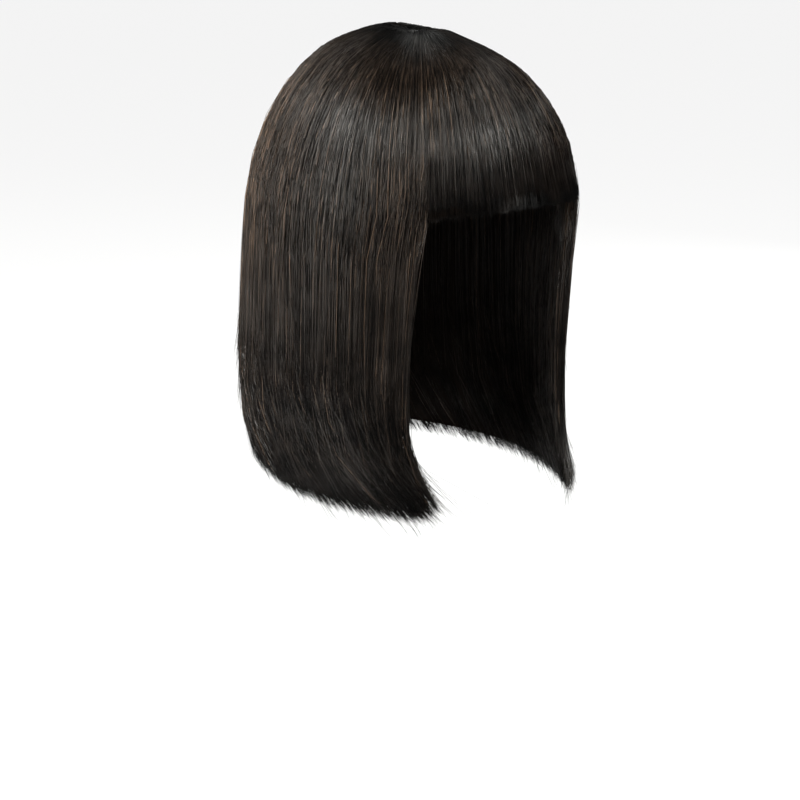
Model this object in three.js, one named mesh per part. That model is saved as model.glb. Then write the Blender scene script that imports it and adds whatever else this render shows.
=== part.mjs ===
// Bob wig with a full fringe, in the form it has when it is worn.
// Straight hair falls from a short centre part over a stretch cap, and ends in a hem that curls under.
// Millimetres, +Z up. The wearer faces -Y, and the origin is the top of the cap's hollow.
import * as THREE from 'three';
import { mergeVertices } from 'three/addons/utils/BufferGeometryUtils.js';

// Cap: the hollow that the head fills, its wall, and how far its rim lies below the crown
const hollowHalfWidth = 77;
const hollowFront = 97;
const hollowBack = 97;
const hollowDepth = 98;
const capWall = 2;
const rimFrontDrop = 46;
const rimEarDrop = 106;
const rimNapeDrop = 148;
const seatGap = 0.3;

// Hair over the cap: how far it stands off the cap's wall, and its plan and dome
const topLoft = 10;
const sideLoft = 19;
const frontLoft = 18;
const backLoft = 22;
const fullDrop = 30;
const planRound = 2.12;
const frontDomeRound = 2.4;
const backDomeRound = 2.06;

// Centre part: how far it runs forward and back, the slot between its two sides, and the valley round it
const partForwardRun = 8;
const partBackRun = 14;
const partPull = 0.25;
const partSlot = 1.4;
const partFrontDrop = 6;
const valleyDepth = 2.5;
const valleyReach = 9;

// Fringe, curtains and hem: how far each ends below the crown, and how the curtain's front edge runs
const fringeHalfAngle = 41.25;
const fringeDrop = 97;
const fringeSag = 2.5;
const hemFrontDrop = 293;
const hemBackDrop = 276;
const hemSweep = 12;
const edgeRecede = 7;
const edgeTuck = 0.065;
const edgeReach = 100;
const sideEndAngle = 108;
const seamGap = 0.35;

// Wall of the hair at the fringe's level, as a share of how far it stands off the cap
const fringeWallShare = 0.5;
const sideWallShare = 0.8;

// Locks: how many there are in each piece, how uneven they are, and how they end
const fringeLocks = 11;
const sideLocks = 9;
const backLocks = 18;
const lockWidthVary = 0.22;
const lockVaryStep = 2.4;
const grooveDepth = 1.3;
const tipGrooveDepth = 2.2;
const lockLift = 0.6;
const fringeTips = { point: 1.6, vary: 0.8 };
const hemTips = { point: 5, vary: 3 };

// Where each lock has its columns, and how far each stands out between the groove and the crest
const lockColumns = [
  { across: 0, stand: 0 },
  { across: 0.25, stand: 0.75 },
  { across: 0.5, stand: 1 },
  { across: 0.75, stand: 0.75 },
];

// Sections of the hair below the fringe's level.
// drop is a share of the way down to the hem; width, front and back are shares of the hair's own ring;
// sweep, recede, tuck and wall are shares of hemSweep, edgeRecede, edgeTuck and the wall's thickness.
const fallSections = [
  { drop: 0.00, width: 1.000, front: 1.000, back: 1.000, sweep: 0.00, recede: 0.00, tuck: 0.00, wall: 1.00 },
  { drop: 0.10, width: 1.000, front: 0.990, back: 1.000, sweep: 0.00, recede: 0.55, tuck: 0.20, wall: 0.98 },
  { drop: 0.22, width: 1.002, front: 0.975, back: 1.010, sweep: 0.00, recede: 0.80, tuck: 0.60, wall: 0.94 },
  { drop: 0.38, width: 1.005, front: 0.955, back: 1.022, sweep: 0.00, recede: 0.95, tuck: 0.90, wall: 0.87 },
  { drop: 0.54, width: 1.012, front: 0.945, back: 1.034, sweep: 0.00, recede: 1.10, tuck: 1.10, wall: 0.80 },
  { drop: 0.69, width: 1.018, front: 0.940, back: 1.045, sweep: 0.05, recede: 1.25, tuck: 1.30, wall: 0.72 },
  { drop: 0.82, width: 1.018, front: 0.940, back: 1.048, sweep: 0.25, recede: 1.10, tuck: 1.45, wall: 0.63 },
  { drop: 0.92, width: 1.000, front: 0.935, back: 1.020, sweep: 0.60, recede: 0.45, tuck: 1.45, wall: 0.50 },
  { drop: 1.00, width: 0.962, front: 0.930, back: 0.945, sweep: 1.00, recede: -0.10, tuck: 1.30, wall: 0.34 },
];

// Rows of the mesh: on the cap, from there to the fringe's level, and down the rest of the cap to its rim
const seatRows = 7;
const browRows = 3;
const rimRows = 4;
const seatBand = 6;
const seatSideShare = 0.85;

const hairMaterial = { color: 0x241d1b, roughness: 0.42, metalness: 0 };
const capMaterial = { color: 0x1b1818, roughness: 0.9, metalness: 0 };

const halfTurn = 180;
const toRadians = Math.PI / halfTurn;
const weldDistance = 1e-4;
const slopeStep = 0.5;

// Each shell is a ring at its widest level with a dome over it
const capShell = {
  halfWidth: hollowHalfWidth,
  front: hollowFront,
  back: hollowBack,
  widest: -hollowDepth,
  top: () => 0,
  round: () => 2,
};
const hairShell = {
  halfWidth: hollowHalfWidth + capWall + sideLoft,
  front: hollowFront + capWall + frontLoft,
  back: hollowBack + capWall + backLoft,
  widest: -hollowDepth - fullDrop,
  top: (angle) => capWall + topLoft - partFrontDrop * partForward(angle),
  round: (angle) => mix(backDomeRound, frontDomeRound, Math.max(Math.cos(angle * toRadians), 0)),
};
const fringeCorner = -fringeDrop - fringeSag;
const seatOffset = capWall + seatGap;
const domeRows = seatRows + browRows;
const fallRows = fallSections.length - 1;
const browSection = fallSections[0];

function mix(from, to, share) {
  return from + (to - from) * share;
}

function held(value, low, high) {
  return Math.min(Math.max(value, low), high);
}

function ease(share) {
  const inside = held(share, 0, 1);
  return inside * inside * (3 - 2 * inside);
}

function signedPower(value, power) {
  return Math.sign(value) * Math.abs(value) ** power;
}

// Angles are in degrees round the head from the front, positive towards the wearer's left
function fromFront(angle) {
  return Math.abs(angle > halfTurn ? angle - 2 * halfTurn : angle);
}

// How much of the curtain edge's shaping reaches an angle: all of it at the edge, none past edgeReach
function edgeShare(angle) {
  return ease((edgeReach - fromFront(angle)) / (edgeReach - fringeHalfAngle));
}

// A point of the shell's ring at a section, seen from above, with the ring widened by an offset
function ringPoint(shell, angle, offset, section) {
  const near = edgeShare(angle);
  const turned = (angle + Math.sign(angle) * edgeRecede * section.recede * near) * toRadians;
  const across = signedPower(Math.sin(turned), 2 / planRound);
  const along = signedPower(Math.cos(turned), 2 / planRound);
  const reach = along > 0 ? (shell.front + offset) * section.front : (shell.back + offset) * section.back;
  return {
    x: (shell.halfWidth + offset) * section.width * across * (1 - edgeTuck * section.tuck * near),
    y: -reach * along - hemSweep * section.sweep,
  };
}

// Where on the part line the hair at this angle starts, and how near that is to the part's front end
function partPlace(angle) {
  return held(ringPoint(hairShell, angle, 0, browSection).y * partPull, -partForwardRun, partBackRun);
}

function partForward(angle) {
  return (partBackRun - partPlace(angle)) / (partBackRun + partForwardRun);
}

// A point that reaches out from the part line to a share of the ring
function reachPoint(shell, angle, offset, section, reach, level) {
  const ring = ringPoint(shell, angle, offset, section);
  return new THREE.Vector3(ring.x * reach, mix(partPlace(angle), ring.y, reach), level);
}

// A point over the dome, where turn is 0 at the top and a quarter turn at the widest level
function domePoint(shell, angle, offset, turn) {
  const power = 2 / shell.round(angle);
  const height = shell.top(angle) + offset - shell.widest;
  const level = shell.widest + height * signedPower(Math.cos(turn), power);
  return reachPoint(shell, angle, offset, browSection, Math.sin(turn) ** power, level);
}

// A point at a level, straight down from the ring below the widest level
function levelPoint(shell, angle, offset, section, level) {
  const round = shell.round(angle);
  const rise = Math.max((level - shell.widest) / (shell.top(angle) + offset - shell.widest), 0);
  return reachPoint(shell, angle, offset, section, (1 - rise ** round) ** (1 / round), level);
}

// The turn at which the dome comes down to a level, past a quarter turn below the widest level
function turnAt(shell, angle, level) {
  const rise = (level - shell.widest) / (shell.top(angle) - shell.widest);
  return Math.acos(signedPower(rise, shell.round(angle) / 2));
}

// The turn at the edge of the part's slot
function slotTurn(shell, angle) {
  return Math.asin((partSlot / shell.halfWidth) ** (shell.round(angle) / 2));
}

function browLevel(angle) {
  const along = Math.min(fromFront(angle) / fringeHalfAngle, 1);
  return mix(-fringeDrop, fringeCorner, along * along);
}

function hemLevel(angle) {
  const round = ease((fromFront(angle) - fringeHalfAngle) / (halfTurn - fringeHalfAngle));
  return -mix(hemFrontDrop, hemBackDrop, round);
}

// The level where the hair leaves the cap, and the level of the cap's rim
function seatLevel(angle) {
  return -mix(rimFrontDrop - seatBand, hollowDepth * seatSideShare, ease(fromFront(angle) / edgeReach));
}

function rimLevel(angle) {
  const nearEar = mix(rimFrontDrop, rimEarDrop, ease(fromFront(angle) / edgeReach));
  return -mix(nearEar, rimNapeDrop, ease((fromFront(angle) - edgeReach) / (halfTurn - edgeReach)));
}

// The turn of each of the rows that the cap and the hair on it share
function seatTurn(angle, row) {
  return mix(slotTurn(capShell, angle), turnAt(capShell, angle, seatLevel(angle)), row / seatRows);
}

// The hair's outer surface: rows over the dome first, then the sections of the fall
function outerPoint(angle, row) {
  if (row > domeRows) {
    const section = fallSections[row - domeRows];
    return levelPoint(hairShell, angle, 0, section, mix(fringeCorner, hemLevel(angle), section.drop));
  }
  const low = turnAt(hairShell, angle, browLevel(angle));
  const point = domePoint(hairShell, angle, 0, mix(slotTurn(hairShell, angle), low, row / domeRows));
  const away = Math.hypot(point.x, point.y - partPlace(angle)) - partSlot;
  point.z -= valleyDepth * (1 - ease(away / valleyReach));
  return point;
}

// The cap's side at a level, straight down below its widest level
function capSide(angle, level) {
  return levelPoint(capShell, angle, seatOffset, browSection, level);
}

function wallShare(angle) {
  return mix(sideWallShare, fringeWallShare, edgeShare(angle));
}

// The hair's inner surface: on the cap to the seat, easing off it to the brow, then a wall of its own
function innerPoint(angle, row) {
  if (row <= seatRows) {
    return domePoint(capShell, angle, seatOffset, seatTurn(angle, row));
  }
  const brow = browLevel(angle);
  if (row <= domeRows) {
    const share = (row - seatRows) / browRows;
    const seat = innerPoint(angle, seatRows).z;
    const level = mix(seat, brow, share);
    const outer = levelPoint(hairShell, angle, 0, browSection, level);
    return outer.lerp(capSide(angle, level), mix(1, wallShare(angle), share));
  }
  const { wall } = fallSections[row - domeRows];
  const inward = capSide(angle, brow).sub(levelPoint(hairShell, angle, 0, browSection, brow));
  return outerPoint(angle, row).addScaledVector(inward, wallShare(angle) * wall);
}

// The angles that bound a piece's locks, uneven in width and alike on both sides of its middle
function lockBounds(from, to, count) {
  const widths = Array.from({ length: count }, (unused, lock) => {
    const fromMiddle = Math.abs(lock - (count - 1) / 2);
    return 1 + lockWidthVary * Math.sin(lockVaryStep * fromMiddle);
  });
  const whole = widths.reduce((sum, width) => sum + width, 0);
  const bounds = [from];
  widths.forEach((width) => bounds.push(bounds.at(-1) + ((to - from) * width) / whole));
  bounds[count] = to;
  return bounds;
}

// The outer columns between the bounds: how far each stands out of its groove, and its lock's share of tips
function hairColumns(bounds) {
  const columns = [];
  for (let lock = 0; lock < bounds.length - 1; lock += 1) {
    const lift = lockLift * Math.sin(lockVaryStep * lock);
    const length = Math.cos(lockVaryStep * lock);
    lockColumns.forEach(({ across, stand }) => {
      const angle = mix(bounds[lock], bounds[lock + 1], across);
      columns.push({ angle, stand, lift: lift * stand, length: length * stand });
    });
  }
  columns.push({ angle: bounds.at(-1), stand: 0, lift: 0, length: 0 });
  return columns;
}

// Draws an angle towards the middle of its piece, so that half of the seam's gap is left at both ends
function drawnIn(angle, bounds, surface, row) {
  const middle = (bounds[0] + bounds.at(-1)) / 2;
  const half = bounds.at(-1) - middle;
  const stepLength = surface(angle + slopeStep, row).distanceTo(surface(angle - slopeStep, row));
  const gapAngle = (seamGap / 2) * ((2 * slopeStep) / stepLength);
  return mix(middle, angle, 1 - gapAngle / half);
}

function outerColumn(column, bounds, rows, tips) {
  const points = [];
  for (let row = 0; row <= rows; row += 1) {
    const angle = drawnIn(column.angle, bounds, outerPoint, row);
    const point = outerPoint(angle, row);
    const groove = mix(grooveDepth, tipGrooveDepth, Math.max(row - domeRows, 0) / fallRows);
    const inset = Math.min(row / domeRows, 1) * (groove * (1 - column.stand) - column.lift);
    const outward = new THREE.Vector3(point.x, point.y - partPlace(angle), 0).normalize();
    points.push(point.addScaledVector(outward, -inset));
  }
  points[rows].z += tips.point * (1 - column.stand) + tips.vary * column.length;
  return points;
}

function innerColumn(bound, bounds, rows, tips) {
  const points = [];
  for (let row = 0; row <= rows; row += 1) {
    points.push(innerPoint(drawnIn(bound, bounds, innerPoint, row), row));
  }
  points[rows].z += tips.point;
  return points;
}

// A list of vertices and faces that grows point by point and quad by quad
function newBody() {
  const body = { vertices: [], faces: [] };
  body.place = (points) => points.map((point) => body.vertices.push(point) - 1);
  body.triangle = (a, b, c) => body.faces.push(a, b, c);
  body.quad = (a, b, c, d) => body.faces.push(a, b, c, a, c, d);
  return body;
}

// One piece of hair: uneven locks outside and a plain wall inside, closed at the part, tips and seams
function hairPiece(bounds, rows, tips) {
  const body = newBody();
  const outer = hairColumns(bounds).map((column) => body.place(outerColumn(column, bounds, rows, tips)));
  const inner = bounds.map((bound) => body.place(innerColumn(bound, bounds, rows, tips)));
  for (let row = 0; row < rows; row += 1) {
    for (let i = 0; i + 1 < outer.length; i += 1) {
      body.quad(outer[i][row], outer[i][row + 1], outer[i + 1][row + 1], outer[i + 1][row]);
    }
    for (let i = 0; i + 1 < inner.length; i += 1) {
      body.quad(inner[i][row], inner[i + 1][row], inner[i + 1][row + 1], inner[i][row + 1]);
    }
    const [first, last] = [outer[0], outer.at(-1)];
    const [innerFirst, innerLast] = [inner[0], inner.at(-1)];
    body.quad(first[row], innerFirst[row], innerFirst[row + 1], first[row + 1]);
    body.quad(innerLast[row + 1], innerLast[row], last[row], last[row + 1]);
  }
  for (let lock = 0; lock + 1 < bounds.length; lock += 1) {
    closeLock(body, outer, inner, lock, 0);
    closeLock(body, outer, inner, lock, rows);
  }
  return solid(body);
}

// Closes one lock at its top or its tip, from the inner wall's two corners to the outer columns
function closeLock(body, outer, inner, lock, row) {
  const add = row > 0 ? body.triangle : (a, b, c) => body.triangle(a, c, b);
  const [left, right] = [inner[lock][row], inner[lock + 1][row]];
  const first = lock * lockColumns.length;
  const middle = first + lockColumns.length / 2;
  for (let i = first; i < first + lockColumns.length; i += 1) {
    add(i < middle ? left : right, outer[i + 1][row], outer[i][row]);
  }
  add(left, right, outer[middle][row]);
}

// One column of the cap at an offset from its hollow, from the part line over the seat to the rim
function capColumn(angle, offset) {
  const points = [domePoint(capShell, angle, offset, 0)];
  for (let row = 0; row <= seatRows; row += 1) {
    points.push(domePoint(capShell, angle, offset, seatTurn(angle, row)));
  }
  const [seat, rim] = [seatTurn(angle, seatRows), turnAt(capShell, angle, rimLevel(angle))];
  for (let row = 1; row <= rimRows; row += 1) {
    points.push(domePoint(capShell, angle, offset, mix(seat, rim, row / rimRows)));
  }
  return points;
}

// The cap: an outer and an inner skin, joined round the rim, each closed along the part line
function capPiece(bounds) {
  const body = newBody();
  const outer = bounds.map((angle) => body.place(capColumn(angle, capWall)));
  const inner = bounds.map((angle) => body.place(capColumn(angle, 0)));
  const rows = outer[0].length - 1;
  for (let i = 0; i < bounds.length; i += 1) {
    const next = (i + 1) % bounds.length;
    for (let row = 0; row < rows; row += 1) {
      body.quad(outer[i][row], outer[i][row + 1], outer[next][row + 1], outer[next][row]);
      body.quad(inner[i][row], inner[next][row], inner[next][row + 1], inner[i][row + 1]);
    }
    body.quad(outer[i][rows], inner[i][rows], inner[next][rows], outer[next][rows]);
  }
  return solid(body);
}

// A geometry from a body: equal points are welded, and faces that this leaves without area are dropped
function solid(body) {
  const loose = new THREE.BufferGeometry();
  const positions = body.vertices.flatMap((vertex) => vertex.toArray());
  loose.setAttribute('position', new THREE.Float32BufferAttribute(positions, 3));
  loose.setIndex(body.faces);
  const geometry = mergeVertices(loose, weldDistance);
  const welded = Array.from(geometry.index.array);
  const kept = [];
  for (let i = 0; i < welded.length; i += 3) {
    const [a, b, c] = welded.slice(i, i + 3);
    if (a !== b && b !== c && c !== a) {
      kept.push(a, b, c);
    }
  }
  geometry.setIndex(kept);
  geometry.computeVertexNormals();
  return geometry;
}

function named(name, geometry, look) {
  const mesh = new THREE.Mesh(geometry, new THREE.MeshStandardMaterial(look));
  mesh.name = name;
  return mesh;
}

const fringeBounds = lockBounds(-fringeHalfAngle, fringeHalfAngle, fringeLocks);
const leftBounds = lockBounds(fringeHalfAngle, sideEndAngle, sideLocks);
const rightBounds = lockBounds(-sideEndAngle, -fringeHalfAngle, sideLocks);
const backBounds = lockBounds(sideEndAngle, 2 * halfTurn - sideEndAngle, backLocks);
const roundBounds = [fringeBounds, leftBounds, backBounds, rightBounds];
const capBounds = roundBounds.flatMap((bounds) => bounds.slice(0, -1));

const wig = new THREE.Group();
wig.add(named('cap', capPiece(capBounds), capMaterial));
wig.add(named('fringe', hairPiece(fringeBounds, domeRows, fringeTips), hairMaterial));
wig.add(named('right_side_hair', hairPiece(rightBounds, domeRows + fallRows, hemTips), hairMaterial));
wig.add(named('left_side_hair', hairPiece(leftBounds, domeRows + fallRows, hemTips), hairMaterial));
wig.add(named('back_hair', hairPiece(backBounds, domeRows + fallRows, hemTips), hairMaterial));

export default wig;
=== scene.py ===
# Bob wig with a full fringe: walls of hair over a net cap, covered with loose strands in layers.
# Metres, +Z up. The wearer faces -Y, and the origin is the top of the cap's hollow.
import collections

import bmesh
import bpy
import mathutils
import numpy as np
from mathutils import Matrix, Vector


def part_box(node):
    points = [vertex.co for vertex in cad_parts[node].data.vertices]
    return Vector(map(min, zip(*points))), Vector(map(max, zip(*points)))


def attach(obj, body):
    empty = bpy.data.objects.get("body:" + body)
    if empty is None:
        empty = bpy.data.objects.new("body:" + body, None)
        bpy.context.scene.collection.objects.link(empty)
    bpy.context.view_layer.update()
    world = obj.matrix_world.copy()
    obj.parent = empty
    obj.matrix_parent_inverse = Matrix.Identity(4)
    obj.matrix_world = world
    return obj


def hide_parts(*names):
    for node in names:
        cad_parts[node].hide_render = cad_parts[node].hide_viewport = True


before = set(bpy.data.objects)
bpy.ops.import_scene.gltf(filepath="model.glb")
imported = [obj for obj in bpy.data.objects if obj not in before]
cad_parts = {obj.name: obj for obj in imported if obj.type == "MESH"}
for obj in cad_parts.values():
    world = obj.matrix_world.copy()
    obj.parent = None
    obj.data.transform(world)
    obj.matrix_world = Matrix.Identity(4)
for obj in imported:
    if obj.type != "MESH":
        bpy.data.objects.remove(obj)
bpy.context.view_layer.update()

# The cap, from its own solid
CAP_LOW, CAP_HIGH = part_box("cap")
CAP_WALL = 0.002
HOLLOW_HALF_WIDTH = CAP_HIGH[0] - CAP_WALL
HOLLOW_BACK = CAP_HIGH[1] - CAP_WALL
HOLLOW_FRONT = HOLLOW_BACK
HOLLOW_DEPTH = 0.098
RIM_FRONT_DROP = 0.046
RIM_EAR_DROP = 0.106
RIM_NAPE_DROP = 0.148
SEAT_GAP = 0.0003
SEAT_BAND = 0.006
SEAT_SIDE_SHARE = 0.85
SEAT_ALONG = 0.7

# Hair over the cap
TOP_LOFT = 0.010
SIDE_LOFT = 0.019
FRONT_LOFT = 0.018
BACK_LOFT = 0.022
FULL_DROP = 0.030
PLAN_ROUND = 2.12
FRONT_DOME_ROUND = 2.4
BACK_DOME_ROUND = 2.06
FRINGE_WALL_SHARE = 0.5
SIDE_WALL_SHARE = 0.8

# Centre part
PART_FRONT = -0.008
PART_BACK = 0.014
PART_PULL = 0.25
PART_SLOT = 0.0004
PART_FRONT_DROP = 0.006
VALLEY_DEPTH = 0.0018
VALLEY_REACH = 0.005

# Fringe, curtains and hem. Angles are in degrees round the head from the front.
FRINGE_ANGLE = 41.25
FRINGE_DROP = 0.097
FRINGE_SAG = 0.0025
HEM_FRONT_DROP = 0.293
HEM_BACK_DROP = 0.276
HEM_SWEEP = 0.012
EDGE_RECEDE = 7.0
EDGE_TUCK = 0.065
EDGE_REACH = 100.0
SIDE_END_ANGLE = 108.0

# Sections of the hair below the fringe, as shares: the drop to the hem, the ring's own sizes,
# and then the hem's sweep, the edge's recede and tuck, and the wall's thickness
COLUMNS = ("drop", "width", "front", "back", "sweep", "recede", "tuck", "wall")
FALL_SECTIONS = np.array([
    (0.00, 1.000, 1.000, 1.000, 0.00, 0.00, 0.00, 1.00),
    (0.10, 1.000, 0.990, 1.000, 0.00, 0.55, 0.20, 0.98),
    (0.22, 1.002, 0.975, 1.010, 0.00, 0.80, 0.60, 0.94),
    (0.38, 1.005, 0.955, 1.022, 0.00, 0.95, 0.90, 0.87),
    (0.54, 1.012, 0.945, 1.034, 0.00, 1.10, 1.10, 0.80),
    (0.69, 1.018, 0.940, 1.045, 0.05, 1.25, 1.30, 0.72),
    (0.82, 1.018, 0.940, 1.048, 0.25, 1.10, 1.45, 0.63),
    (0.92, 1.000, 0.935, 1.020, 0.60, 0.45, 1.45, 0.50),
    (1.00, 0.962, 0.930, 0.945, 1.00, -0.10, 1.30, 0.34),
])

# Fullness of the loose hair over the walls' form: degrees from the front and their reach, place
# along the hair and its reach, and height
FULLNESS = (
    (30.0, 100.0, 0.075, 0.095, 0.0030),
    (40.0, 60.0, 0.32, 0.20, -0.0010),
    (48.0, 34.0, 0.80, 0.30, 0.0018),
    (132.0, 60.0, 1.55, 0.55, 0.0022),
    (85.0, 60.0, 0.09, 0.10, 0.0016),
    (132.0, 60.0, 0.15, 0.20, -0.0014),
)

SEED = 41
QUARTER_TURN = 90.0
HALF_TURN = 180.0
FULL_TURN = 360.0


class Shell:
    """A ring at its widest level with a dome over it."""

    def __init__(self, half_width, front, back, widest, is_cap):
        self.half_width = half_width
        self.front = front
        self.back = back
        self.widest = widest
        self.is_cap = is_cap

    def top(self, angle):
        if self.is_cap:
            return np.zeros_like(angle)
        return CAP_WALL + TOP_LOFT - PART_FRONT_DROP * part_forward(angle)

    def round(self, angle):
        if self.is_cap:
            return np.full_like(angle, 2.0)
        return mix(BACK_DOME_ROUND, FRONT_DOME_ROUND, np.maximum(np.cos(np.radians(angle)), 0))


CAP = Shell(HOLLOW_HALF_WIDTH, HOLLOW_FRONT, HOLLOW_BACK, -HOLLOW_DEPTH, True)
HAIR = Shell(
    HOLLOW_HALF_WIDTH + CAP_WALL + SIDE_LOFT,
    HOLLOW_FRONT + CAP_WALL + FRONT_LOFT,
    HOLLOW_BACK + CAP_WALL + BACK_LOFT,
    -HOLLOW_DEPTH - FULL_DROP,
    False,
)
FRINGE_CORNER = -FRINGE_DROP - FRINGE_SAG
SEAT_OFFSET = CAP_WALL + SEAT_GAP


def mix(low, high, share):
    return low + (high - low) * share


def ease(share):
    held = np.clip(share, 0, 1)
    return held * held * (3 - 2 * held)


def ease_between(value, ends):
    return ease((value - ends[0]) / (ends[1] - ends[0]))


def signed_power(value, power):
    return np.sign(value) * np.abs(value) ** power


def wrapped(angle):
    return np.where(angle > HALF_TURN, angle - FULL_TURN, angle)


def from_front(angle):
    """Degrees away from the front, whichever side the angle is on."""
    return np.abs(wrapped(angle))


def section_at(drop):
    """The columns of FALL_SECTIONS at a share of the drop, on a smooth curve through the rows."""
    rows = FALL_SECTIONS[:, 0]
    held = np.clip(drop, rows[0], rows[-1])
    slopes = np.gradient(FALL_SECTIONS, rows, axis=0)
    slopes[0] = 0
    cell = np.clip(np.searchsorted(rows, held, side="right") - 1, 0, len(rows) - 2)
    length = rows[cell + 1] - rows[cell]
    t = ((held - rows[cell]) / length)[..., None]
    length = length[..., None]
    low, high = FALL_SECTIONS[cell], FALL_SECTIONS[cell + 1]
    values = (
        (2 * t**3 - 3 * t**2 + 1) * low
        + (t**3 - 2 * t**2 + t) * length * slopes[cell]
        + (3 * t**2 - 2 * t**3) * high
        + (t**3 - t**2) * length * slopes[cell + 1]
    )
    return {name: values[..., i] for i, name in enumerate(COLUMNS)}


def edge_share(angle):
    return ease((EDGE_REACH - from_front(angle)) / (EDGE_REACH - FRINGE_ANGLE))


def ring_point(shell, angle, offset, section):
    """A point of the ring seen from above, at a section."""
    near = edge_share(angle)
    turned = np.radians(angle + np.sign(angle) * EDGE_RECEDE * section["recede"] * near)
    across = signed_power(np.sin(turned), 2 / PLAN_ROUND)
    along = signed_power(np.cos(turned), 2 / PLAN_ROUND)
    forward = (shell.front + offset) * section["front"]
    backward = (shell.back + offset) * section["back"]
    reach = np.where(along > 0, forward, backward)
    tuck = 1 - EDGE_TUCK * section["tuck"] * near
    x = (shell.half_width + offset) * section["width"] * across * tuck
    return x, -reach * along - HEM_SWEEP * section["sweep"]


def brow_section(angle):
    return section_at(np.zeros_like(angle))


def part_place(angle):
    _, y = ring_point(HAIR, angle, 0, brow_section(angle))
    return np.clip(y * PART_PULL, PART_FRONT, PART_BACK)


def part_forward(angle):
    return (PART_BACK - part_place(angle)) / (PART_BACK - PART_FRONT)


def reach_point(shell, angle, offset, section, reach, level):
    x, y = ring_point(shell, angle, offset, section)
    start = part_place(angle)
    return np.stack([x * reach, mix(start, y, reach), level + 0 * x], axis=-1)


def dome_point(shell, angle, offset, turn):
    """A point over the dome, where turn is 0 at the top and a quarter turn at the widest level."""
    power = 2 / shell.round(angle)
    height = shell.top(angle) + offset - shell.widest
    level = shell.widest + height * signed_power(np.cos(turn), power)
    return reach_point(shell, angle, offset, brow_section(angle), np.sin(turn) ** power, level)


def level_point(shell, angle, offset, section, level):
    """A point at a level, straight down from the ring below the widest level."""
    power = shell.round(angle)
    rise = np.maximum((level - shell.widest) / (shell.top(angle) + offset - shell.widest), 0)
    return reach_point(shell, angle, offset, section, (1 - rise**power) ** (1 / power), level)


def turn_at(shell, angle, level):
    rise = (level - shell.widest) / (shell.top(angle) - shell.widest)
    return np.arccos(signed_power(rise, shell.round(angle) / 2))


def slot_turn(shell, angle):
    return np.arcsin((PART_SLOT / shell.half_width) ** (shell.round(angle) / 2))


def brow_level(angle):
    along = np.minimum(from_front(angle) / FRINGE_ANGLE, 1)
    return mix(-FRINGE_DROP, FRINGE_CORNER, along * along)


def hem_level(angle):
    backward = ease_between(from_front(angle), (FRINGE_ANGLE, HALF_TURN))
    return -mix(HEM_FRONT_DROP, HEM_BACK_DROP, backward)


def seat_level(angle):
    near = ease(from_front(angle) / EDGE_REACH)
    return -mix(RIM_FRONT_DROP - SEAT_BAND, HOLLOW_DEPTH * SEAT_SIDE_SHARE, near)


def rim_level(angle):
    near_ear = mix(RIM_FRONT_DROP, RIM_EAR_DROP, ease(from_front(angle) / EDGE_REACH))
    return -mix(near_ear, RIM_NAPE_DROP, ease_between(from_front(angle), (EDGE_REACH, HALF_TURN)))


def fall_section(along, hangs_free):
    """The section at a place along the hair. The fringe hangs free of the curtains' shaping."""
    return section_at(np.zeros_like(along) if hangs_free else along - 1)


def fall_level(angle, along, hangs_free):
    start = brow_level(angle) if hangs_free else FRINGE_CORNER
    return mix(start, hem_level(angle), along - 1)


def outer_point(angle, along, hangs_free=False):
    """The hair's outer surface. along is 0 at the part, 1 at the fringe's level and 2 at the hem."""
    low = turn_at(HAIR, angle, brow_level(angle))
    dome = dome_point(HAIR, angle, 0, mix(slot_turn(HAIR, angle), low, np.clip(along, 0, 1)))
    away = np.hypot(dome[..., 0], dome[..., 1] - part_place(angle))
    dome[..., 2] -= VALLEY_DEPTH * np.sin(np.radians(angle)) ** 2 * (1 - ease(away / VALLEY_REACH))
    section = fall_section(along, hangs_free)
    fall = level_point(HAIR, angle, 0, section, fall_level(angle, np.maximum(along, 1), hangs_free))
    return np.where((along > 1)[..., None], fall, dome)


def cap_side(angle, level):
    return level_point(CAP, angle, SEAT_OFFSET, brow_section(angle), level)


def wall_share(angle):
    return mix(SIDE_WALL_SHARE, FRINGE_WALL_SHARE, edge_share(angle))


def inner_point(angle, along, hangs_free=False):
    """The hair's inner surface: on the cap, then easing off it to the brow, then below it."""
    seat_turn = turn_at(CAP, angle, seat_level(angle))
    turn = mix(slot_turn(CAP, angle), seat_turn, np.clip(along / SEAT_ALONG, 0, 1))
    on_cap = dome_point(CAP, angle, SEAT_OFFSET, turn)
    brow = brow_level(angle)
    share = np.clip((along - SEAT_ALONG) / (1 - SEAT_ALONG), 0, 1)
    level = mix(on_cap[..., 2], brow, share)
    outer = level_point(HAIR, angle, 0, brow_section(angle), level)
    easing = outer + (cap_side(angle, level) - outer) * mix(1, wall_share(angle), share)[..., None]
    section = fall_section(along, hangs_free)
    inward = cap_side(angle, brow) - level_point(HAIR, angle, 0, brow_section(angle), brow)
    thickness = (wall_share(angle) * section["wall"])[..., None]
    fall = outer_point(angle, along, hangs_free) + inward * thickness
    over_seat = np.where((along > SEAT_ALONG)[..., None], easing, on_cap)
    return np.where((along > 1)[..., None], fall, over_seat)


def fullness(angle, along):
    """How far the loose hair stands out over the solids' form."""
    total = 0 * along
    for middle, reach, place, along_reach, height in FULLNESS:
        near = ease(1 - np.abs(from_front(angle) - middle) / reach)
        total = total + height * near * ease(1 - np.abs(along - place) / along_reach)
    return total


def hair_point(angle, along, depth, hangs_free=False):
    """A point in the wall of hair, where depth is 0 on its outer surface and 1 on its inner one."""
    outer = outer_point(angle, along, hangs_free)
    point = outer + (inner_point(angle, along, hangs_free) - outer) * depth[..., None]
    stand = fullness(angle, along) * (1 - np.clip(depth, 0, 1))
    return point + outward_at(angle, along, outer) * stand[..., None]


# Meshes

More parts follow.
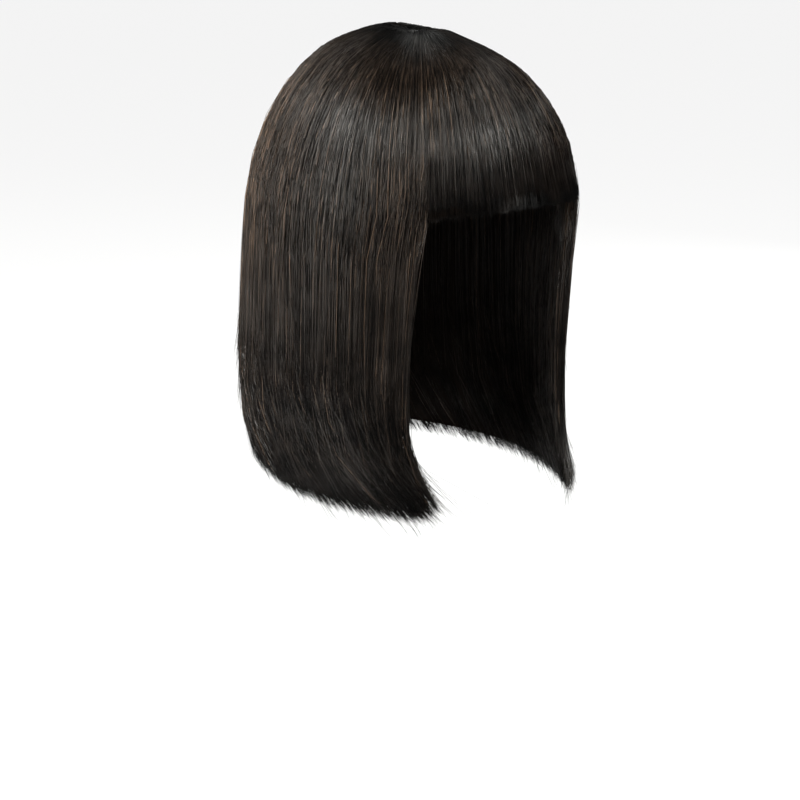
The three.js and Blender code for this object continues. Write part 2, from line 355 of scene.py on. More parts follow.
TRIANGLE = 3
QUAD = 4


def add_mesh(name, vertices, loops, sizes):
    """A mesh object from flat arrays: vertex places, the corners of all faces, and each face's size.

    Quads are smooth. The triangles at a strand's root and tip are flat, so that they don't bend the
    light along it.
    """
    mesh = bpy.data.meshes.new(name)
    mesh.vertices.add(len(vertices))
    mesh.vertices.foreach_set("co", np.ascontiguousarray(vertices, dtype=np.float32).ravel())
    mesh.loops.add(len(loops))
    mesh.loops.foreach_set("vertex_index", np.ascontiguousarray(loops, dtype=np.int32))
    mesh.polygons.add(len(sizes))
    starts = np.concatenate([[0], np.cumsum(sizes)[:-1]]).astype(np.int32)
    mesh.polygons.foreach_set("loop_start", starts)
    mesh.polygons.foreach_set("loop_total", np.ascontiguousarray(sizes, dtype=np.int32))
    mesh.update(calc_edges=True)
    mesh.polygons.foreach_set("use_smooth", sizes == QUAD)
    obj = bpy.data.objects.new(name, mesh)
    bpy.context.collection.objects.link(obj)
    return obj


# Strands

RING_SIDES = 3


def strand_arrays(paths, outward, radii, tones):
    """Closed tapering tubes along many paths at once: their points, faces and tones."""
    count, steps = paths.shape[0], paths.shape[1] - 1
    tangent = np.gradient(paths, axis=1)
    tangent /= np.linalg.norm(tangent, axis=-1, keepdims=True)
    side = np.cross(tangent, outward)
    side /= np.linalg.norm(side, axis=-1, keepdims=True)
    lift = np.cross(side, tangent)
    turns = np.radians(FULL_TURN / RING_SIDES * np.arange(RING_SIDES) + QUARTER_TURN)
    across = np.cos(turns)[:, None] * side[:, :steps, None, :]
    upward = np.sin(turns)[:, None] * lift[:, :steps, None, :]
    rings = paths[:, :steps, None, :] + (across + upward) * radii[:, :steps, None, None]
    points = np.concatenate([rings.reshape(count, -1, 3), paths[:, steps:, :]], axis=1)
    ring_tones = np.repeat(tones[:, :steps], RING_SIDES, axis=1)
    point_tones = np.concatenate([ring_tones, tones[:, steps:]], axis=1).ravel()
    loops, sizes = strand_faces(steps)
    loops = (loops + np.arange(count)[:, None] * points.shape[1]).ravel()
    return points.reshape(-1, 3), loops, np.tile(sizes, count), point_tones


def strand_faces(steps):
    """The faces of one strand: a cap at its root, quads along it and triangles at its tip."""
    ring = np.arange(RING_SIDES)
    after = (ring + 1) % RING_SIDES
    base = (np.arange(steps - 1) * RING_SIDES)[:, None]
    far = base + RING_SIDES
    quads = np.stack([base + ring, far + ring, far + after, base + after], axis=-1)
    last = (steps - 1) * RING_SIDES
    tip = np.stack([last + ring, np.full(RING_SIDES, steps * RING_SIDES), last + after], axis=-1)
    loops = np.concatenate([ring, quads.ravel(), tip.ravel()])
    sizes = [[RING_SIDES], np.full(quads.size // QUAD, QUAD), np.full(RING_SIDES, TRIANGLE)]
    return loops, np.concatenate(sizes)


def strand_object(name, groups):
    """One mesh of several layers of strands, with each point's tone kept on it."""
    offsets = np.cumsum([0] + [len(group[0]) for group in groups])
    points = np.concatenate([group[0] for group in groups])
    loops = np.concatenate([group[1] + offset for group, offset in zip(groups, offsets)])
    sizes = np.concatenate([group[2] for group in groups])
    obj = add_mesh(name, points, loops, sizes)
    tones = np.concatenate([group[3] for group in groups])
    tone = obj.data.attributes.new("tone", "FLOAT", "POINT")
    tone.data.foreach_set("value", tones.astype(np.float32))
    return obj


class Waves:
    """Smooth unevenness over the hair: a sum of waves round the head and along the strands."""

    def __init__(self, seed, count, least, most, along_most):
        rng = np.random.default_rng(seed)
        self.round = rng.uniform(least, most, count) * rng.choice([-1, 1], count)
        self.along = rng.uniform(-along_most, along_most, count)
        self.phase = rng.uniform(0, 2 * np.pi, count)
        self.share = 1 / np.sqrt(count)

    def at(self, angle, along):
        total = np.zeros(np.broadcast(angle, along).shape)
        for turns, rise, phase in zip(self.round, self.along, self.phase):
            total = total + np.sin(np.radians(angle) * turns + along * rise + phase)
        return total * self.share


# How strands stand unevenly high, drift together in locks, and end unevenly: seed, number of waves,
# least and most waves in a turn of the head, and most waves along the hair
HEIGHT_WAVES = Waves(SEED, 30, 24, 240, 5)
LOCK_WAVES = Waves(SEED + 1, 16, 20, 110, 3)
END_WAVES = Waves(SEED + 2, 12, 12, 60, 0)
HEIGHT = 0.00034
HEIGHT_ALONG = 0.6
LOCK_TURN = 0.30
LOCK_TIP_TURN = 0.8
LOCK_TIP_ALONG = (1.6, 2.0)
WANDER = 0.28
WANDER_ALONG = 0.5
SLOW_TURNS = (1.5, 4.0)
QUICK_TURNS = (6.0, 11.0)
QUICK_SHARE = 0.4
STEP_WARP = (0.92, 1.12)

# How strands sweep forward near the hem
SWEEP_START = 1.62
SWEEP_START_SPREAD = 0.05
SWEEP_ANGLE = 14.0
SWEEP_VARY = (0.55, 1.3)
SWEEP_CURVE = 1.7
SWEEP_NEAR_EDGE = 0.10
SWEEP_EDGE_REACH = 26.0
SWEEP_BACK_REACH = 60.0
EARLY_SWEEP = 1.5
EARLY_BEGINS = 0.14

# A strand layer: how many strands, their depth under the outer surface, where they start and end
# along the hair, the share that starts at the part, the share that ends early, how far tips lift,
# how far the locks' ends differ, how freely the strands wander, how much of the sweep they take, and
# the places of a strand's points as shares of its length
FIELDS = "count depths starts ends rooted early lift uneven wander sweep steps"
Layer = collections.namedtuple("Layer", FIELDS)
LONG_STEPS = np.array([0, 0.025, 0.07, 0.135, 0.21, 0.285, 0.36, 0.45, 0.60, 0.80, 0.92, 0.985, 1.0])
INSIDE_STEPS = np.array([0, 0.22, 0.50, 0.78, 0.95, 1.0])
TIP_STEPS = np.array([0, 0.45, 0.90, 1.0])
FRINGE_STEPS = np.array([0, 0.05, 0.13, 0.25, 0.40, 0.57, 0.76, 0.96, 1.0])
STRAY_STEPS = np.linspace(0, 1, 9)
STRAY_COUNT = 36
EARLY_ENDS = (1.52, 1.97)


def fall_layers(long_count, inside_count, tip_count):
    """The strand layers of hair that hangs to the hem."""
    long = Layer(
        long_count, (0.0, 0.13), (0.0, 0.45), (1.968, 2.012), 0.5, 0.26, 0.0022, 0.006, 1, 1, LONG_STEPS
    )
    inside = Layer(
        inside_count, (0.84, 1.0), (0.75, 1.05), (1.95, 2.005), 0, 0.15, 0.0010, 0.006, 1, 1, INSIDE_STEPS
    )
    tips = Layer(tip_count, (0.12, 0.95), (1.70, 1.86), (1.96, 2.012), 0, 0, 0.0014, 0.006, 1, 1, TIP_STEPS)
    strays = Layer(STRAY_COUNT, (-0.04, 0.0), (0.35, 1.5), (1.2, 2.0), 0, 0, 0.0020, 0, 7, 1, STRAY_STEPS)
    return long, inside, tips, strays


# The strands across the thickness of a curtain's front edge
EDGE_LAYER = Layer(260, (0.0, 1.0), (0.93, 1.20), (1.94, 2.01), 0, 0.25, 0.0012, 0.006, 1, 1, INSIDE_STEPS)
EDGE_WIDTH = 1.6
# The stray strands below the hem, and those that flare forward past the front corner
WISP_LAYER = Layer(54, (0.0, 0.9), (1.3, 1.7), (2.01, 2.085), 0, 0, 0.0050, 0, 2, 1.2, INSIDE_STEPS)
CORNER_LAYER = Layer(60, (0.0, 0.9), (1.45, 1.70), (1.90, 2.02), 0, 1, 0.0040, 0, 2, 1.3, INSIDE_STEPS)
CORNER_WIDTH = 12.0
CORNER_RISE = 0.038
CORNER_REACH = 24.0

# The fringe: long strands, ones on its inner face, short ones that fill its cut end, and wisps
FRINGE_LAYERS = (
    Layer(3000, (0.0, 0.14), (0.0, 0.35), (0.988, 1.003), 0.5, 0, 0.0006, 0.003, 1, 0, FRINGE_STEPS),
    Layer(500, (0.84, 1.0), (0.72, 0.85), (0.985, 1.002), 0, 0, 0.0005, 0.003, 1, 0, TIP_STEPS),
    Layer(1500, (0.16, 0.95), (0.88, 0.93), (0.988, 1.004), 0, 0, 0.0005, 0.003, 1, 0, TIP_STEPS),
    Layer(40, (0.0, 0.9), (0.75, 0.88), (1.003, 1.016), 0, 0, 0.0008, 0, 2, 0, TIP_STEPS),
)
# How much further along the right corner of the fringe ends
FRINGE_TILT = 0.020
STRAND_RADIUS = 0.00017
RADIUS_VARY = (0.55, 1.35)
ROOT_WIDTH = 0.3
ROOT_WIDTH_SHARE = 0.08
TIP_WIDTH = 0.5
TIP_WIDTH_SHARES = (0.7, 1.0)
LIFT_SHARES = (0.9, 1.0)
# How deep a strand that starts in the hair over the cap comes out of it, and over which share
SUNK_DEPTH = 0.3
SUNK_SHARE = 0.12
SUNK_ALONG = 0.6
# How the outward direction turns upright towards the part
UPRIGHT_CURVE = 1.2
LEAST_LENGTH = 1e-6


def sweep_share(angle):
    """How much of the hem's forward sweep an angle takes: little at the front edge, none at the back."""
    away = from_front(angle)
    edge = mix(SWEEP_NEAR_EDGE, 1.0, ease((away - FRINGE_ANGLE) / SWEEP_EDGE_REACH))
    return -np.sign(wrapped(angle)) * edge * ease((HALF_TURN - away) / SWEEP_BACK_REACH)


def end_shift(root, hangs_free):
    """How much further along the hair ends at an angle than its layer says."""
    if hangs_free:
        return FRINGE_TILT * np.clip(-root / FRINGE_ANGLE, 0, 1)
    return -CORNER_RISE * ease(1 - (from_front(root) - FRINGE_ANGLE) / CORNER_REACH)


def strand_angles(rng, layer, root, along, early, hangs_free):
    """Each strand's angle along it: its own wander, its lock's drift, and the sweep of its end."""
    column = (len(root), 1)
    slow = np.sin(along * rng.uniform(*SLOW_TURNS, column) + rng.uniform(0, 2 * np.pi, column))
    quick = np.sin(along * rng.uniform(*QUICK_TURNS, column) + rng.uniform(0, 2 * np.pi, column))
    lock_turn = mix(LOCK_TURN, LOCK_TIP_TURN, ease_between(along, LOCK_TIP_ALONG))
    drift = LOCK_WAVES.at(root[:, None], along) * lock_turn
    wander = WANDER * layer.wander * (slow + QUICK_SHARE * quick)
    angle = root[:, None] + (wander + drift) * np.clip(along / WANDER_ALONG, 0, 1)
    if hangs_free:
        return np.clip(angle, -FRINGE_ANGLE, FRINGE_ANGLE)
    more = np.where(early, EARLY_SWEEP, 1.0)[:, None]
    sooner = np.where(early, EARLY_BEGINS, 0.0)[:, None]
    strength = SWEEP_ANGLE * rng.uniform(*SWEEP_VARY, column) * more
    begin = SWEEP_START + rng.normal(0, SWEEP_START_SPREAD, column) - sooner
    swept = np.maximum((along - begin) / (2 - SWEEP_START), 0) ** SWEEP_CURVE
    return angle + layer.sweep * sweep_share(root)[:, None] * strength * swept


def strand_alongs(rng, root, layer, hangs_free):
    """Where each point of each strand lies along the hair, and where each strand ends."""
    count = len(root)
    rooted = rng.uniform(0, 1, count) < layer.rooted
    starts = np.where(rooted, 0.0, rng.uniform(*layer.starts, count))
    ends = rng.uniform(*layer.ends, count) + layer.uneven * END_WAVES.at(root, 0 * root)
    ends = ends + end_shift(root, hangs_free)
    early = rng.uniform(0, 1, count) < layer.early
    ends = np.where(early & (layer.early < 1), rng.uniform(*EARLY_ENDS, count), ends)
    shares = layer.steps[None, :] ** rng.uniform(*STEP_WARP, (count, 1))
    return mix(starts[:, None], ends[:, None], shares), shares, rooted, early


def grow_layer(rng, layer, first, last, hangs_free):
    """The arrays of one layer of strands over a range of angles."""
    places = (np.arange(layer.count) + rng.uniform(0, 1, layer.count)) / layer.count
    root = mix(first, last, places)
    along, shares, rooted, early = strand_alongs(rng, root, layer, hangs_free)
    angle = strand_angles(rng, layer, root, along, early, hangs_free)
    sunk = np.where(rooted | (along[:, 0] > SUNK_ALONG), 0.0, SUNK_DEPTH)[:, None]
    sunk = sunk * (1 - ease(shares / SUNK_SHARE))
    depth = np.minimum(rng.uniform(*layer.depths, (layer.count, 1)) + sunk, 1)
    points = hair_point(angle, along, depth, hangs_free)
    outward = outward_at(angle, along, points)
    height = HEIGHT * HEIGHT_WAVES.at(root[:, None], along) * ease(along / HEIGHT_ALONG)
    lift = rng.normal(0, layer.lift, (layer.count, 1)) * ease_between(shares, LIFT_SHARES)
    points = points + outward * (height + lift)[..., None]
    radii = STRAND_RADIUS * rng.uniform(*RADIUS_VARY, (layer.count, 1)) * taper(shares)
    tones = strand_tones(rng, root, along, shares, rooted, early, hangs_free)
    return strand_arrays(points, outward, radii, tones)


def taper(share):
    """A strand's width along it: fine at the root, full through its length, fine again at the tip."""
    root = mix(ROOT_WIDTH, 1.0, ease(share / ROOT_WIDTH_SHARE))
    return root * mix(1.0, TIP_WIDTH, ease_between(share, TIP_WIDTH_SHARES))


def outward_at(angle, along, points):
    """The direction out of the hair's surface, level in the fall and upright over the part."""
    flat = points - np.stack([0 * angle, part_place(angle), 0 * angle], axis=-1)
    flat[..., 2] = 0
    flat /= np.maximum(np.linalg.norm(flat, axis=-1, keepdims=True), LEAST_LENGTH)
    tilt = np.radians(QUARTER_TURN) * (1 - np.clip(along, 0, 1)) ** UPRIGHT_CURVE
    out = flat * np.cos(tilt)[..., None]
    out[..., 2] = np.sin(tilt)
    return out


# Tones of the strands, where 0 is near black and 1 is the lightest brown
TONE_SHAPE = (0.75, 2.4)
EARLY_TIP_TONE = 0.28
EARLY_TIP_SHARES = (0.75, 1.0)
# Painted shade: the last share of each strand that doesn't end early is darkened, colour and gloss, so its
# tip doesn't catch the pale floor's light
TIP_TONE = 0.15
TIP_SHARES = (0.93, 1.0)
# Painted backlight: where the hair is made browner, and with it glossier, to stand in for light shining
# through it at the edges: the middle angle, its reach in degrees, and how much
PAINTED_BACKLIGHT_BROWN = ((-135.0, 48.0, 0.22), (62.0, 40.0, 0.12), (150.0, 60.0, 0.14))
# Painted shade along the part: strands that start there are darker near their roots, so the part shows as a
# dark line
PART_ROOT_SHADE_TONE = 0.4
PART_ROOT_SHADE_SHARE = 0.04
# Painted shade on the crown: near the top the tone, and with it the gloss, is held down
CROWN_SHADE_TONE = 0.0
CROWN_SHADE_ALONG = (0.12, 0.55)
# Painted shade low down: lower on the fall the tone, and with it the gloss, falls off, as if the light came
# only from above; light strands keep more of theirs
LOW_SHADE_TONE = 0.09
LOW_SHADE_TONE_ALONG = (1.15, 1.65)
# Painted shade low on the fringe: its tone, and with it the gloss, falls off towards its cut end
FRINGE_LOW_SHADE_TONE = 0.14
FRINGE_LOW_SHADE_ALONG = (0.74, 0.94)
LIGHT_SHARE = 0.055
LIGHT_TONES = (0.45, 0.85)
LIGHT_LOW_SHADE_TONE = 0.9


def pick_tones(rng, root):
    """Each strand's own tone, browner where light through the hair is painted in, and whether it is one of
    the few light ones.
    """
    tones = rng.beta(*TONE_SHAPE, len(root))
    # Painted backlight: browner at the angles that show as edges
    for middle, reach, height in PAINTED_BACKLIGHT_BROWN:
        tones = tones + height * ease(1 - np.abs(wrapped(root - middle)) / reach)
    light_share = LIGHT_SHARE * (1 + from_front(root) / HALF_TURN)
    light = rng.uniform(0, 1, len(root)) < light_share
    return np.where(light, rng.uniform(*LIGHT_TONES, len(root)), tones), light


def painted_shade_tone(along, light, hangs_free):
    """How the tone is darkened as painted shade: it rises off the crown and falls off low down, where light
    strands keep more of theirs.
    """
    # Painted shade on the crown
    crown = mix(CROWN_SHADE_TONE, 1.0, ease_between(along, CROWN_SHADE_ALONG))
    if hangs_free:
        # Painted shade low on the fringe
        return crown * mix(1.0, FRINGE_LOW_SHADE_TONE, ease_between(along, FRINGE_LOW_SHADE_ALONG))
    # Painted shade low on the fall
    least = np.where(light, LIGHT_LOW_SHADE_TONE, LOW_SHADE_TONE)[:, None]
    return crown * mix(1.0, least, ease_between(along, LOW_SHADE_TONE_ALONG))


def strand_tones(rng, root, along, shares, rooted, early, hangs_free):
    """Each strand's tone along it: painted shade where it leaves the part, on the crown, low down and at
    its tip, and lighter in early tips.
    """
    tones, light = pick_tones(rng, root)
    tones = tones[:, None] * painted_shade_tone(along, light, hangs_free)
    early_tips = np.where(early, EARLY_TIP_TONE, 0.0)[:, None] * ease_between(shares, EARLY_TIP_SHARES)
    # Painted shade where the strands leave the part
    part_shade = np.where(rooted[:, None], mix(PART_ROOT_SHADE_TONE, 1.0, ease(shares / PART_ROOT_SHADE_SHARE)), 1.0)
    # Painted shade at the tips
    tips = np.where(early[:, None], 1.0, mix(1.0, TIP_TONE, ease_between(shares, TIP_SHARES)))
    return np.clip((tones + early_tips) * part_shade * tips, 0, 1)


# Walls of hair under the strands

WALL_OUTER_DEPTH = 0.20
WALL_INNER_DEPTH = 0.90
WALL_ROWS = 40
WALL_ROW_CURVE = 1.5
WALL_STEP = 1.5
WALL_END = 1.958
FRINGE_WALL_END = 0.982
CAP_COLUMNS = 120
CAP_ROWS = 33
WELD_REACH = 0.00001


def wall_object(name, first, last, hangs_free):
    """A closed wall between an outer and an inner depth, which stops short of the strands' ends."""
    low, high = min(first, last), max(first, last)
    angles = np.linspace(low, high, int((high - low) / WALL_STEP) + 1)
    angle, share = np.meshgrid(angles, np.linspace(0, 1, WALL_ROWS), indexing="ij")
    end = (FRINGE_WALL_END if hangs_free else WALL_END) + end_shift(angle, hangs_free)
    along = end * share**WALL_ROW_CURVE
    outer = hair_point(angle, along, np.full_like(along, WALL_OUTER_DEPTH), hangs_free)
    inner = hair_point(angle, along, np.full_like(along, WALL_INNER_DEPTH), hangs_free)
    return grid_wall(name, outer, inner, closed=False)


def grid_wall(name, outer, inner, closed):
    """Joins two grids of points of one size into a body.

    closed joins the first angle to the last, and leaves out the rim of the first row, which meets itself.
    """
    columns, rows = outer.shape[:2]
    vertices = np.concatenate([outer.reshape(-1, 3), inner.reshape(-1, 3)])
    index = np.arange(columns * rows).reshape(columns, rows)
    if closed:
        index = np.concatenate([index, index[:1]])
    far = columns * rows
    a, b, c, d = index[:-1, :-1], index[:-1, 1:], index[1:, 1:], index[1:, :-1]
    faces = [np.stack([a, b, c, d], axis=-1).reshape(-1, 4)]
    faces.append(np.stack([d, c, b, a], axis=-1).reshape(-1, 4) + far)
    for row, turned in ((rows - 1, True),) if closed else ((0, False), (rows - 1, True)):
        start, end = index[:-1, row], index[1:, row]
        rim = [start, end, end + far, start + far]
        faces.append(np.stack(rim[::-1] if turned else rim, axis=-1))
    if not closed:
        for column, turned in ((0, True), (columns - 1, False)):
            start, end = index[column, :-1], index[column, 1:]
            edge = [start, end, end + far, start + far]
            faces.append(np.stack(edge[::-1] if turned else edge, axis=-1))
    quads = np.concatenate(faces)
    return add_mesh(name, vertices, quads.ravel(), np.full(len(quads), QUAD))


def weld(obj):
    """Joins the points that lie at one place."""
    mesh = bmesh.new()
    mesh.from_mesh(obj.data)
    bmesh.ops.remove_doubles(mesh, verts=mesh.verts, dist=WELD_REACH)
    mesh.to_mesh(obj.data)
    mesh.free()
    return obj


def cap_object():
    """The cap, smooth inside and out, closed along the part line and open at its rim."""
    angles = np.linspace(-HALF_TURN, HALF_TURN, CAP_COLUMNS, endpoint=False)
    angle, share = np.meshgrid(angles, np.linspace(0, 1, CAP_ROWS), indexing="ij")
    turn = turn_at(CAP, angle, rim_level(angle)) * share
    outer = dome_point(CAP, angle, CAP_WALL, turn)
    inner = dome_point(CAP, angle, 0, turn)
    return weld(grid_wall("cap_net", outer, inner, closed=True))


# Materials

BLACK = (0.0012, 0.0011, 0.0011)
NEAR_BLACK = (0.0025, 0.0016, 0.0011)
DARK_BROWN = (0.0050, 0.0032, 0.0022)
MID_BROWN = (0.0150, 0.0094, 0.0060)
LIGHT_BROWN = (0.0820, 0.0520, 0.0340)
HAIR_COLOURS = ((0.0, BLACK), (0.08, NEAR_BLACK), (0.30, DARK_BROWN), (0.68, MID_BROWN), (1.0, LIGHT_BROWN))
HAIR_NOISE_SCALE = 60.0
HAIR_NOISE_DETAIL = 3.0
HAIR_TONE_VARY = 0.30
LEAST_ROUGHNESS = 0.25
MOST_ROUGHNESS = 0.38
LEAST_SHEEN = 0.03
MOST_SHEEN = 0.22
FULL_SHEEN_TONE = 0.32

WALL_COLOURS = ((0.35, NEAR_BLACK), (0.75, DARK_BROWN))
WALL_STREAKS = (900.0, 900.0, 14.0)
WALL_STREAK_DETAIL = 4.0
WALL_BUMP = 0.6
WALL_BUMP_HEIGHT = 0.0004
WALL_ROUGHNESS = 0.6

NET_COLOURS = ((0.0, (0.030, 0.026, 0.025)), (0.25, (0.008, 0.007, 0.007)))
NET_SCALE = 520.0
WEFT_SCALE = 26.0
WEFT_WAVER = 0.6
NET_BUMP = 0.8
NET_BUMP_HEIGHT = 0.0012
NET_ROUGHNESS = 0.85

FLOOR_GLOW = 0.86
FLOOR_COLOUR = 0.07
FLOOR_ROUGHNESS = 0.9


def new_material(name):
    material = bpy.data.materials.new(name)
    material.use_nodes = True
    nodes = material.node_tree.nodes
    return material, nodes, material.node_tree.links, nodes["Principled BSDF"]


def add_node(nodes, kind, **values):
    node = nodes.new(kind)
    for key, value in values.items():
        setattr(node, key, value)
    return node


def set_ramp(ramp, stops):
    elements = ramp.color_ramp.elements
    while len(elements) > len(stops):
        elements.remove(elements[-1])
    while len(elements) < len(stops):
        elements.new(1.0)
    for element, (place, colour) in zip(elements, stops):
        element.position = place
        element.color = (*colour, 1)


def add_ramp(nodes, links, value, stops):
    """A colour ramp that reads a value. Gives back its colour."""
    ramp = add_node(nodes, "ShaderNodeValToRGB")
    set_ramp(ramp, stops)
    links.new(value, ramp.inputs["Fac"])
    return ramp.outputs["Color"]


def add_noise(nodes, links, place, scale, detail):
    """Noise over a place. Gives back its value."""
    noise = add_node(nodes, "ShaderNodeTexNoise")
    noise.inputs["Scale"].default_value = scale
    noise.inputs["Detail"].default_value = detail
    links.new(place, noise.inputs["Vector"])
    return noise.outputs["Fac"]


def add_bump(nodes, links, height, strength, distance, shader):
    bump = add_node(nodes, "ShaderNodeBump")
    bump.inputs["Strength"].default_value = strength
    bump.inputs["Distance"].default_value = distance
    links.new(height, bump.inputs["Height"])
    links.new(bump.outputs["Normal"], shader.inputs["Normal"])


def add_range(nodes, links, value, full, low, high):
    """Turns a value from 0 to full into one from low to high."""
    scale = add_node(nodes, "ShaderNodeMapRange")
    scale.inputs["From Max"].default_value = full
    scale.inputs["To Min"].default_value = low
    scale.inputs["To Max"].default_value = high
    links.new(value, scale.inputs["Value"])
    return scale.outputs["Result"]


def strand_material():
    """Glossy near-black hair, with each strand's own tone and a little unevenness along it. The tone sets
    both colour and gloss, and carries painted shade and painted backlight.
    """
    material, nodes, links, shader = new_material("hair_strand")
    tone = add_node(nodes, "ShaderNodeAttribute", attribute_name="tone")
    place = add_node(nodes, "ShaderNodeTexCoord")
    noise = add_noise(nodes, links, place.outputs["Object"], HAIR_NOISE_SCALE, HAIR_NOISE_DETAIL)
    vary = add_node(nodes, "ShaderNodeMath", operation="MULTIPLY_ADD")
    links.new(noise, vary.inputs[0])
    vary.inputs[1].default_value = HAIR_TONE_VARY
    vary.inputs[2].default_value = -HAIR_TONE_VARY / 2
    total = add_node(nodes, "ShaderNodeMath", operation="ADD", use_clamp=True)
    links.new(tone.outputs["Fac"], total.inputs[0])
    links.new(vary.outputs[0], total.inputs[1])
    colour = add_ramp(nodes, links, total.outputs[0], HAIR_COLOURS)
    rough = add_range(nodes, links, noise, 1.0, LEAST_ROUGHNESS, MOST_ROUGHNESS)
    sheen = add_range(nodes, links, total.outputs[0], FULL_SHEEN_TONE, LEAST_SHEEN, MOST_SHEEN)
    links.new(colour, shader.inputs["Base Color"])
    links.new(rough, shader.inputs["Roughness"])
    links.new(sheen, shader.inputs["Specular IOR Level"])
    return material


def wall_material():
    """The dense hair under the loose strands: dark, with fine streaks that run down it."""
    material, nodes, links, shader = new_material("hair_wall")
    place = add_node(nodes, "ShaderNodeTexCoord")
    stretch = add_node(nodes, "ShaderNodeMapping")
    stretch.inputs["Scale"].default_value = WALL_STREAKS
    links.new(place.outputs["Object"], stretch.inputs["Vector"])
    noise = add_noise(nodes, links, stretch.outputs["Vector"], 1.0, WALL_STREAK_DETAIL)
    links.new(add_ramp(nodes, links, noise, WALL_COLOURS), shader.inputs["Base Color"])
    add_bump(nodes, links, noise, WALL_BUMP, WALL_BUMP_HEIGHT, shader)
    shader.inputs["Roughness"].default_value = WALL_ROUGHNESS
    shader.inputs["Specular IOR Level"].default_value = LEAST_SHEEN
    return material


def cap_material():
    """A dark stretch net with rows of sewn hair across it."""
    material, nodes, links, shader = new_material("cap_net")
    place = add_node(nodes, "ShaderNodeTexCoord")
    rows = add_node(nodes, "ShaderNodeTexWave", bands_direction="Z", wave_profile="SAW")
    rows.inputs["Scale"].default_value = WEFT_SCALE
    rows.inputs["Distortion"].default_value = WEFT_WAVER
    links.new(place.outputs["Object"], rows.inputs["Vector"])
    net = add_node(nodes, "ShaderNodeTexVoronoi", feature="DISTANCE_TO_EDGE")
    net.inputs["Scale"].default_value = NET_SCALE
    links.new(place.outputs["Object"], net.inputs["Vector"])
    links.new(add_ramp(nodes, links, net.outputs["Distance"], NET_COLOURS), shader.inputs["Base Color"])
    height = add_node(nodes, "ShaderNodeMath", operation="ADD")
    links.new(rows.outputs["Fac"], height.inputs[0])
    links.new(net.outputs["Distance"], height.inputs[1])
    add_bump(nodes, links, height.outputs[0], NET_BUMP, NET_BUMP_HEIGHT, shader)
    shader.inputs["Roughness"].default_value = NET_ROUGHNESS
    return material


def floor_material():
    material, _, _, shader = new_material("floor")
    shader.inputs["Base Color"].default_value = (FLOOR_COLOUR, FLOOR_COLOUR, FLOOR_COLOUR, 1)
    shader.inputs["Roughness"].default_value = FLOOR_ROUGHNESS
    shader.inputs["Emission Color"].default_value = (1, 1, 1, 1)
    shader.inputs["Emission Strength"].default_value = FLOOR_GLOW
    return material


# The wig

RIGHT_LONG_COUNT = 2050
LEFT_LONG_COUNT = 1850
SIDE_INSIDE_COUNT = 650
SIDE_TIP_COUNT = 1300
BACK_COUNTS = (1850, 400, 1100)


def dress(obj, material, slot, *nodes):
    """Gives a piece its finish, its body and the solids that it stands for."""
    obj.data.materials.append(material)
    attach(obj, "root")
    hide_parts(*nodes)


# The functions for pieces of hair give back the piece's node, its wall's first and last angle, whether
# it hangs free of the curtains' shaping, and each of its strand meshes as layers with their angles
def side_piece(node, edge, end, long_count):
    inset = mix(edge, end, EDGE_WIDTH / abs(end - edge))
    side_layers = fall_layers(long_count, SIDE_INSIDE_COUNT, SIDE_TIP_COUNT)
    layers = [(layer, edge, end) for layer in side_layers]
    corner = mix(edge, end, CORNER_WIDTH / abs(end - edge))
    extras = [(EDGE_LAYER, edge, inset), (WISP_LAYER, edge, end), (CORNER_LAYER, edge, corner)]
    return node, inset, end, False, [layers + extras]


def back_piece(node, first, last):
    middle = (first + last) / 2
    halves = ((first, middle), (middle, last))
    meshes = [[(layer, *half) for layer in fall_layers(*BACK_COUNTS)] for half in halves]
    return node, first, last, False, meshes


def fringe_piece(node, half_angle):
    layers = [(layer, -half_angle, half_angle) for layer in FRINGE_LAYERS]
    return node, -half_angle, half_angle, True, [layers]


def build_wig():
    rng = np.random.default_rng(SEED)
    strand, wall = strand_material(), wall_material()
    dress(cap_object(), cap_material(), "cap_net", "cap")
    pieces = (
        fringe_piece("fringe", FRINGE_ANGLE),
        side_piece("right_side_hair", -FRINGE_ANGLE, -SIDE_END_ANGLE, RIGHT_LONG_COUNT),
        side_piece("left_side_hair", FRINGE_ANGLE, SIDE_END_ANGLE, LEFT_LONG_COUNT),
        back_piece("back_hair", SIDE_END_ANGLE, FULL_TURN - SIDE_END_ANGLE),
    )
    for node, first, last, hangs_free, meshes in pieces:
        dress(wall_object(f"{node}_wall", first, last, hangs_free), wall, "hair", node)
        for number, layers in enumerate(meshes):
            groups = [grow_layer(rng, *layer, hangs_free) for layer in layers]
            dress(strand_object(f"{node}_strands_{number + 1}", groups), strand, "hair", node)


# The studio

CAMERA_AZIMUTH = -42.0
CAMERA_ELEVATION = 12.5
CAMERA_DISTANCE = 1.5
CAMERA_LENS = 101.0
CAMERA_SENSOR = 36.0
CAMERA_REACH = 200.0
AIM_LEVEL = -0.237
AIM_SHIFT = -0.007
FLOOR_LEVEL = -0.42
FLOOR_SIZE = 60.0

# The backdrop's brightness at heights from 0, level, to 1, straight up
BACKDROP = ((0.0, 0.88), (0.09, 0.80), (0.24, 0.24), (0.40, 0.20))
PALE = (0.99, 1.0, 0.96)
WARM = (1.0, 0.76, 0.58)
LIGHT_AIM_LEVEL = -0.1

# Each light: azimuth and elevation in degrees, distance, width and height in metres, power in watts, colour
LIGHTS = (
    ("key_left", -86.0, 44.0, 1.8, 1.3, 0.74, 102.0, PALE),
    ("key_right", -3.0, 36.0, 1.8, 1.1, 0.36, 64.0, PALE),
    ("side_fill", -84.0, 12.0, 1.8, 0.8, 1.0, 78.0, PALE),
    ("side_left", -140.0, 14.0, 1.8, 0.6, 1.0, 4.5, WARM),
    ("side_right", 98.0, 10.0, 1.8, 1.2, 0.60, 30.0, PALE),
    ("top_back", 138.0, 48.0, 1.8, 1.2, 0.60, 9.0, PALE),
)


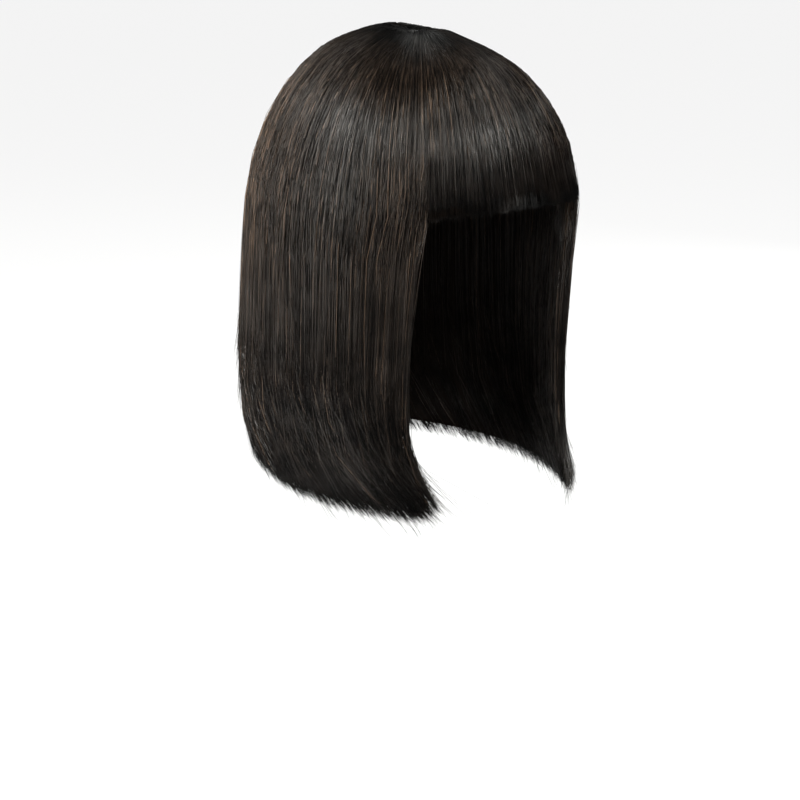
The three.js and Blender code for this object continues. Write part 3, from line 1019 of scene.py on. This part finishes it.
def view_axes(azimuth, elevation):
    """Right, up and back of a view, where azimuth 0 looks along +Y."""
    a, e = np.radians(azimuth), np.radians(elevation)
    back = mathutils.Vector((np.sin(a) * np.cos(e), -np.cos(a) * np.cos(e), np.sin(e)))
    right = mathutils.Vector((np.cos(a), np.sin(a), 0))
    return right, back.cross(right), back


def aim(obj, azimuth, elevation, distance, target):
    """Puts an object on a direction from a target, looking at it."""
    right, up, back = view_axes(azimuth, elevation)
    turn = mathutils.Matrix((right, up, back)).transposed()
    obj.matrix_world = mathutils.Matrix.Translation(target + back * distance) @ turn.to_4x4()


def add_camera():
    data = bpy.data.cameras.new("camera")
    data.lens = CAMERA_LENS
    data.sensor_width = CAMERA_SENSOR
    data.clip_end = CAMERA_REACH
    camera = bpy.data.objects.new("camera", data)
    bpy.context.collection.objects.link(camera)
    right, _, _ = view_axes(CAMERA_AZIMUTH, CAMERA_ELEVATION)
    target = mathutils.Vector((0, 0, AIM_LEVEL)) + right * AIM_SHIFT
    aim(camera, CAMERA_AZIMUTH, CAMERA_ELEVATION, CAMERA_DISTANCE, target)
    bpy.context.scene.camera = camera


def add_light(name, azimuth, elevation, distance, width, height, power, colour):
    data = bpy.data.lights.new(name, "AREA")
    data.color = colour
    data.shape = "RECTANGLE"
    data.size = width
    data.size_y = height
    data.energy = power
    light = bpy.data.objects.new(name, data)
    bpy.context.collection.objects.link(light)
    aim(light, azimuth, elevation, distance, mathutils.Vector((0, 0, LIGHT_AIM_LEVEL)))


def add_floor():
    half = FLOOR_SIZE / 2
    corners = [(-half, -half), (half, -half), (half, half), (-half, half)]
    vertices = np.array([(x, y, FLOOR_LEVEL) for x, y in corners])
    floor = add_mesh("floor", vertices, np.arange(QUAD), np.array([QUAD]))
    floor.data.materials.append(floor_material())


def add_world():
    """A backdrop that is pale at the floor's horizon and dim overhead."""
    world = bpy.data.worlds.new("studio")
    bpy.context.scene.world = world
    world.use_nodes = True
    nodes, links = world.node_tree.nodes, world.node_tree.links
    place = add_node(nodes, "ShaderNodeTexCoord")
    parts = add_node(nodes, "ShaderNodeSeparateXYZ")
    links.new(place.outputs["Generated"], parts.inputs[0])
    stops = [(height, (glow, glow, glow)) for height, glow in BACKDROP]
    colour = add_ramp(nodes, links, parts.outputs["Z"], stops)
    links.new(colour, nodes["Background"].inputs["Color"])


def build_studio():
    add_floor()
    add_world()
    for light in LIGHTS:
        add_light(*light)
    bpy.context.scene.view_settings.view_transform = "Standard"


add_camera()
build_studio()
build_wig()
